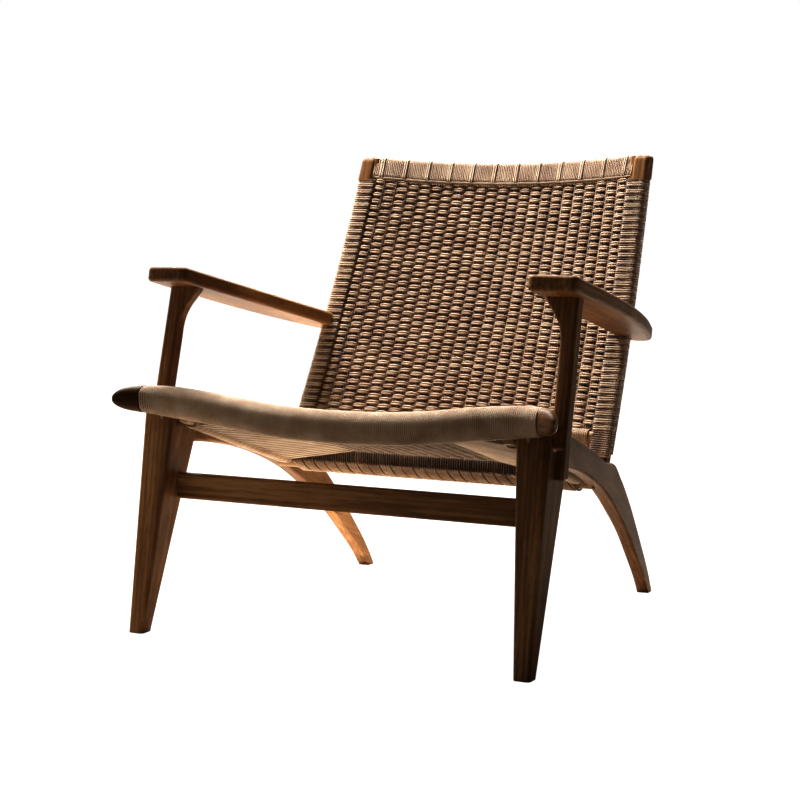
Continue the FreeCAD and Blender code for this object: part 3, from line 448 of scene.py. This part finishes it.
for count, (name, obj) in enumerate(sorted(nodes.items())):
    stem = next((key for key in GRAIN if name.startswith(key)), None)
    if "screws" in name:
        material = steel
    elif "glides" in name:
        material = plastic
    elif stem and "wrap" not in name and "dowels" not in name:
        # the seat front rail gets the darker copy: end grain and painted shade
        tones = END_GRAIN_AND_SHADE_WOOD if stem == "seat_front_rail" else WOOD
        material = wood_material(f"wood_{name}", GRAIN[stem], *tones, seed=count * 1.7)
    else:
        material = raw
    obj.data.materials.clear()
    obj.data.materials.append(material)


# ---------------------------------------------------------------- woven seat and back
ROW_PITCH = 6.2        # from one pair of cords to the next
BACK_SPAN, SEAT_SPAN = 11, 12           # bunches of long cords each side of the middle
MARGIN = 0.25          # from the last bunch to the edge, in bunches
BUNCH = (-8.5, -5.1, -1.7, 1.7, 5.1, 8.5)
BACK_TALL = 427.0      # height of the woven back above the low rail
BACK_SET_BACK = 9.5    # middle of the woven back behind the front of the uprights
SEAT_DROP = 4.5        # middle of the woven seat under its upper edge
SEAT_STATIONS = [73.5, 165.0, 255.0, 344.0]
SEAT_HALF = [253.0, 249.5, 246.0, 242.5]
SEAT_EDGE = [352.0, 319.0, 287.0, 256.0]
SEAT_DIP = [19.0, 15.0, 6.0, -1.5]
UNDER_REACH = 0.5      # how far out the lower layer meets the seat, as a share of its half width


def back_point(u, z):
    """Middle surface of the woven back; u is -1..1 between the uprights."""
    share = (z - LOW_RAIL_Z) / BACK_TALL
    crown = 1 - u * u
    return np.stack([u * inner_face(z),
                     back_front(z) + BACK_SET_BACK + (LOW_BOW + (TOP_BOW - LOW_BOW) * share) * crown,
                     z - TOP_DIP * share * crown], -1)


def seat_point(u, y):
    """Middle surface of the woven seat; u is -1..1 between the side rails."""
    half, edge, dip = (spline(SEAT_STATIONS, values, y) for values in (SEAT_HALF, SEAT_EDGE, SEAT_DIP))
    return np.stack([u * half, y, edge - SEAT_DROP - dip * (1 - u * u)], -1)


def outward(surface, u, v):
    """Unit normals of a surface at (u, v), towards the sitter."""
    du = surface(u + 0.001, v) - surface(u - 0.001, v)
    dv = surface(u, v + 0.1) - surface(u, v - 0.1)
    return unit(np.cross(du, dv))


def column_step(span):
    """Distance from one bunch of long cords to the next, as a share of the half width."""
    return 1.0 / (span + MARGIN)


def even_rows(surface, low, high):
    """Values of the second coordinate, ROW_PITCH apart along the surface."""
    fine = np.linspace(low, high, 400)
    length = distances(surface(np.full(400, 0.9), fine))
    count = int(round(length[-1] / ROW_PITCH))
    return np.interp(np.linspace(0, length[-1], count + 1), length, fine)


def weave(name, surface, low, high, span, replaced, ends):
    """A plain weave of paired cords over bunches of six, with `span` bunches each side of the middle.

    ends(side, row, over) finishes a row.
    """
    rows = even_rows(surface, low, high)
    step = column_step(span)
    halves = [Cords(), Cords()]
    t = np.linspace(-(span + MARGIN), span + MARGIN, (2 * span + 1) * 9 + 1)
    u = t * step
    for k, v in enumerate(rows):
        beat = np.cos(np.pi * (t - k))
        rise = np.tanh(1.6 * beat) / np.tanh(1.6)
        float_share = np.clip(np.abs(beat), 0, 1) ** 1.5
        middle = surface(u, np.full_like(u, v))
        normal = outward(surface, u, np.full_like(u, v))
        ahead = unit(surface(u, np.full_like(u, v + 0.5)) - middle)
        for side in (-1, 1):
            spread = side * (1.35 + 0.7 * float_share)
            path = (middle + normal * (3.5 * rise + rng.normal(0, 0.15))[:, None]
                    + ahead * (spread + rng.normal(0, 0.12))[:, None])
            # each cord's random tone, darkened as painted shade where it dives under the long cords
            shade = rng.uniform(0.75, 1.1) - 1.2 * (1 - float_share)
            strand = [path, normal, 1.6 + 0.28 * float_share, shade]
            over = (k + span + 1) % 2 == 0
            for end in (-1, 1):
                tail, tail_out = ends(end, v + side * 1.6, over)
                plain = np.ones(len(tail))
                tails = [tail, tail_out, plain * CORD, plain * (shade.max() - 0.1)]
                strand = [np.concatenate([b[::-1], a] if end < 0 else [a, b])
                          for a, b in zip(strand, tails)]
            halves[0 if k < len(rows) / 2 else 1].add(*strand)
    warp = Cords()
    v = np.linspace(low - 5, high + 5, int((high - low) / 4))
    k = np.interp(v, rows, np.arange(len(rows)))
    for j in range(-span, span + 1):
        lift = -0.5 * np.cos(np.pi * (k - j))
        flat = np.full_like(v, j * step)
        base = surface(flat, v)
        normal = outward(surface, flat, v)
        for offset in BUNCH:
            share = 1.0 if abs(offset) < BUNCH[-1] else 0.0     # the outer cords lie still
            path = base + normal * (lift * share)[:, None] + np.array([offset, 0, 0])
            # painted shade: the long cords are coloured dark, since they lie in the gaps between the pairs
            warp.add(path, normal, 1.8, rng.uniform(-0.8, -0.3))
    halves[0].finish(f"{name}_weft_a", replaced)
    halves[1].finish(f"{name}_weft_b")
    warp.finish(f"{name}_warp")


def back_ends(end, z, over):
    """Round the upright to its outer side, or a short tail behind its inner side."""
    # share 0.5 is the inner side, 0.25 the front and 0 the outer side
    if over:
        share, grow = np.linspace(0.36, -0.12, 22), np.linspace(1.0, -0.1, 22)
    else:
        share, grow = np.linspace(0.60, 0.66, 6), -1.0
    return around(upright(end), np.full(len(share), z), share, LAYER - CORD + grow, LAYER)


def seat_ends(end, y, over):
    """Round the side rail and back under the seat, where the cord joins the weave again."""
    line, length = side_bars[end]
    s = (y - SIDE_NEAR[1]) / (SIDE_FAR[1] - SIDE_NEAR[1]) * length
    # the first axis points to -X on both sides
    inner, turn = (0.0, 1) if end > 0 else (0.5, -1)
    last, n, grow = (0.87, 34, 0.6) if over else (0.66, 24, 0.0)
    wrap, out = around(line, np.full(n, s), inner + turn * np.linspace(0.13, last, n),
                       LAYER - CORD + grow, LAYER)
    if not over:
        return wrap, out
    aim = seat_point(np.array([end * UNDER_REACH]), np.array([y]))[0] - np.array([0, 0, 3.0])
    under = wrap[-1] + (aim - wrap[-1]) * np.linspace(0, 1, 11)[1:, None]
    down = np.broadcast_to([0.0, 0.0, -1.0], under.shape)
    return np.concatenate([wrap, under]), np.concatenate([out, down])


weave("back", back_point, 300.0, 686.0, BACK_SPAN, "back_weave", back_ends)
weave("seat", seat_point, 80.0, 340.0, SEAT_SPAN, "seat_weave", seat_ends)


# ---------------------------------------------------------------- wound cord
def upright_tone(share):
    """Darker than the other wound cord all round, with painted shade on the inner front where the woven
    pairs stand out over it (share 0.5 is inside).
    """
    return 0.15 - hump(share, 0.17, 0.08, 0.6, 0.05)


def wound(name, line, start, end, node_name, extra=None, **options):
    """One bar's wound cord, in place of its CAD sleeve; extra(cords) adds what lies over it."""
    cords = Cords()
    wind(cords, line, start, end, **options)
    if extra:
        extra(cords)
    cords.finish(name, node_name)


def rear_rail_cords():
    """Bunches of cords round the rear rail; on its lower half they slant from one bunch to the next."""
    cords = Cords()
    bunch, per_bunch, gap = 20.3, 5, 3.3
    pitch = bunch / per_bunch
    n = 72
    share = np.linspace(0.0, 1.0, n)
    # share 0 faces backward; 0.25 is the top, 0.5 faces forward and 0.75 is the bottom
    low_front = hump(share, 0.52, 0.03, 0.8, 0.05)
    slant = 14.0 * hump(share, 0.53, 0.12, 1.0, 0.2)
    # painted shade: the upper front, which lies under the seat, is coloured darker
    upper_front_shade = hump(share, 0.38, 0.03, 0.55, 0.03)
    # the upper front lies back in shade, the lower front stands out
    grow = -0.9 + 2.2 * low_front
    for i in range(int(rear_length / pitch) - 1):
        path, out = around(rear_rail, np.full(n, 2.0 + i * pitch), share, LAYER - CORD + grow, LAYER)
        squeeze = -(gap / per_bunch) * ((i % per_bunch) - (per_bunch - 1) / 2) * low_front
        path[:, 0] += slant + squeeze + rng.normal(0, 0.2)
        cords.add(path, out, np.where(low_front > 0.5, 1.75, 1.5), 0.5 - 1.6 * upper_front_shade)
    cords.finish("rear_rail_cord", "seat_rear_rail_wrap")


def top_rail_pairs(cords):
    """Pairs from the weave over the top rail, and the two cords that run along its lower front edge."""
    s = np.linspace(-238.0, 238.0, 120)
    # share 0.25 is the top, 0.5 faces forward and 0.75 is the bottom
    for share, shade in ((0.652, 0.9), (0.68, 0.7)):
        path, out = around(top_rail, s, np.full(s.shape, share), LAYER + 0.5)
        cords.add(path, out, CORD, shade)
    over = np.linspace(0.68, 0.05, 26)
    for j in range(-BACK_SPAN, BACK_SPAN + 1, 2):
        x = j * column_step(BACK_SPAN) * inner_face(700.0)
        for offset in (-CORD, CORD):
            path, out = around(top_rail, np.full(over.shape, x + offset), over, LAYER - 0.2)
            cords.add(path, out, CORD, 1.05)


wound("front_rail_cord", front_rail, -327.0, 327.0, "seat_front_rail_wrap", jitter=0.12)
rear_rail_cords()
# painted shade: the wound cord between the pairs is coloured darker than the pairs over it
wound("top_rail_cord", top_rail, -240.0, 240.0, "back_top_rail_wrap", extra=top_rail_pairs, jitter=0.1,
      shade=0.2)
wound("low_rail_cord", low_rail, -246.0, 246.0, "back_bottom_rail_wrap", jitter=0.1)
for side, sign in (("left", 1), ("right", -1)):
    wound(f"upright_cord_{side}", upright(sign), 258.0, 689.0, f"back_post_wrap_{side}", jitter=0.1,
          tone=upright_tone)
    line, length = side_bars[sign]
    wound(f"side_rail_cord_{side}", line, 18.0, length - 24.0, f"seat_side_rail_wrap_{side}", jitter=0.1)


# ---------------------------------------------------------------- floor, light, camera
FLOOR_SIZE = 30.0
FLOOR_WHITE = 0.9      # share of the floor that is plain white to the camera


def studio_floor():
    """Pale floor that is looked at mostly as even white; as light it is paper with painted shade, dark at
    the chair's front right and pale at its back left.
    """
    mesh = bpy.data.meshes.new("floor")
    corners = [(x * FLOOR_SIZE, y * FLOOR_SIZE, 0.0) for x, y in ((-1, -1), (1, -1), (1, 1), (-1, 1))]
    mesh.from_pydata(corners, [], [(0, 1, 2, 3)])
    floor = bpy.data.objects.new("floor", mesh)
    bpy.context.scene.collection.objects.link(floor)
    paper, tree, bsdf, place = shader("floor_paper")
    apart = node(tree, "ShaderNodeSeparateXYZ")
    link(tree, place["Object"], apart.inputs[0])
    # painted shade on the paper: it returns less light from the front right of the chair than from its back
    # left
    across = calc(tree, "MULTIPLY", apart.outputs["X"], -1.2)
    depth = node(tree, "ShaderNodeMapRange")
    depth.inputs["From Min"].default_value = -0.6
    depth.inputs["From Max"].default_value = 0.4
    link(tree, calc(tree, "ADD", apart.outputs["Y"], across), depth.inputs["Value"])
    painted_floor_shade = ramp(tree, depth.outputs[0], [(0.0, (0.16, 0.14, 0.12)), (1.0, (0.82, 0.76, 0.68))])
    link(tree, painted_floor_shade, bsdf.inputs["Base Color"])
    bsdf.inputs["Roughness"].default_value = 0.9
    seen = node(tree, "ShaderNodeLightPath").outputs["Is Camera Ray"]
    glow = node(tree, "ShaderNodeEmission", Strength=1.12)
    mix_shaders(tree, calc(tree, "MULTIPLY", seen, FLOOR_WHITE), bsdf.outputs[0], glow.outputs[0],
                "Material Output")
    floor.data.materials.append(paper)


def studio_world():
    """White where it is looked at; as light it is bright behind the chair and dim in front."""
    world = bpy.data.worlds.new("studio")
    bpy.context.scene.world = world
    world.use_nodes = True
    tree = world.node_tree
    white = tree.nodes["Background"]
    white.inputs["Color"].default_value = (1, 1, 1, 1)
    apart = node(tree, "ShaderNodeSeparateXYZ")
    link(tree, node(tree, "ShaderNodeTexCoord").outputs["Generated"], apart.inputs[0])
    # low at the front right, high at the back left
    sideways = calc(tree, "MULTIPLY_ADD", apart.outputs["X"], -0.5, 0.42)
    shift = calc(tree, "MULTIPLY_ADD", apart.outputs["Y"], 0.34, sideways)
    fall = ramp(tree, shift, [(0.4, (0.04, 0.04, 0.04)), (0.65, (0.35, 0.34, 0.33)),
                              (0.95, (1.0, 0.98, 0.94))])
    cast = node(tree, "ShaderNodeBackground", Strength=1.5)
    link(tree, fall, cast.inputs["Color"])
    seen = node(tree, "ShaderNodeLightPath").outputs["Is Camera Ray"]
    mix_shaders(tree, seen, cast.outputs[0], white.outputs[0], "World Output")


def area(name, place, aim, size, power, colour):
    """A round lamp that the camera doesn't see."""
    lamp = bpy.data.lights.new(name, "AREA")
    lamp.shape = "DISK"
    lamp.size = size
    lamp.energy = power
    lamp.color = colour
    made = bpy.data.objects.new(name, lamp)
    made.location = place
    made.rotation_euler = (Vector(aim) - Vector(place)).to_track_quat("-Z", "Y").to_euler()
    made.visible_camera = False
    bpy.context.scene.collection.objects.link(made)


studio_floor()
studio_world()
area("back_left", (-1.9, 1.9, 2.1), (-0.1, 0.35, 0.0), 1.4, 130, (1.0, 0.96, 0.9))
area("behind", (-0.7, 2.6, 1.7), (-0.1, 0.5, 0.0), 1.4, 70, (1.0, 0.97, 0.93))
area("above", (-0.9, 0.45, 2.5), (-0.1, 0.1, 0.3), 0.9, 190, (1.0, 0.98, 0.95))
area("floor_glow", (-0.1, 0.15, 0.02), (-0.1, 0.15, 1.0), 0.7, 1.7, (1.0, 0.76, 0.5))

camera = bpy.data.cameras.new("camera")
camera.lens = 85.53
camera.sensor_width = 36.0
camera.clip_start, camera.clip_end = 0.05, 60
eye = bpy.data.objects.new("camera", camera)
bpy.context.scene.collection.objects.link(eye)
bpy.context.scene.camera = eye
yaw, pitch, roll = math.radians(26.99), math.radians(-6.11), math.radians(0.08)
ahead = Vector((-math.sin(yaw) * math.cos(pitch), math.cos(yaw) * math.cos(pitch), math.sin(pitch)))
right = Vector((math.cos(yaw), math.sin(yaw), 0))
up = right.cross(ahead)
turned_right = math.cos(roll) * right + math.sin(roll) * up
turned_up = -math.sin(roll) * right + math.cos(roll) * up
axes = Matrix((turned_right, turned_up, -ahead)).transposed().to_4x4()
eye.matrix_world = Matrix.Translation((1.3254, -2.3512 - HALF_DEPTH * 0.001, 0.6599)) @ axes

view = bpy.context.scene.view_settings
view.view_transform = "Standard"
view.gamma = 0.76
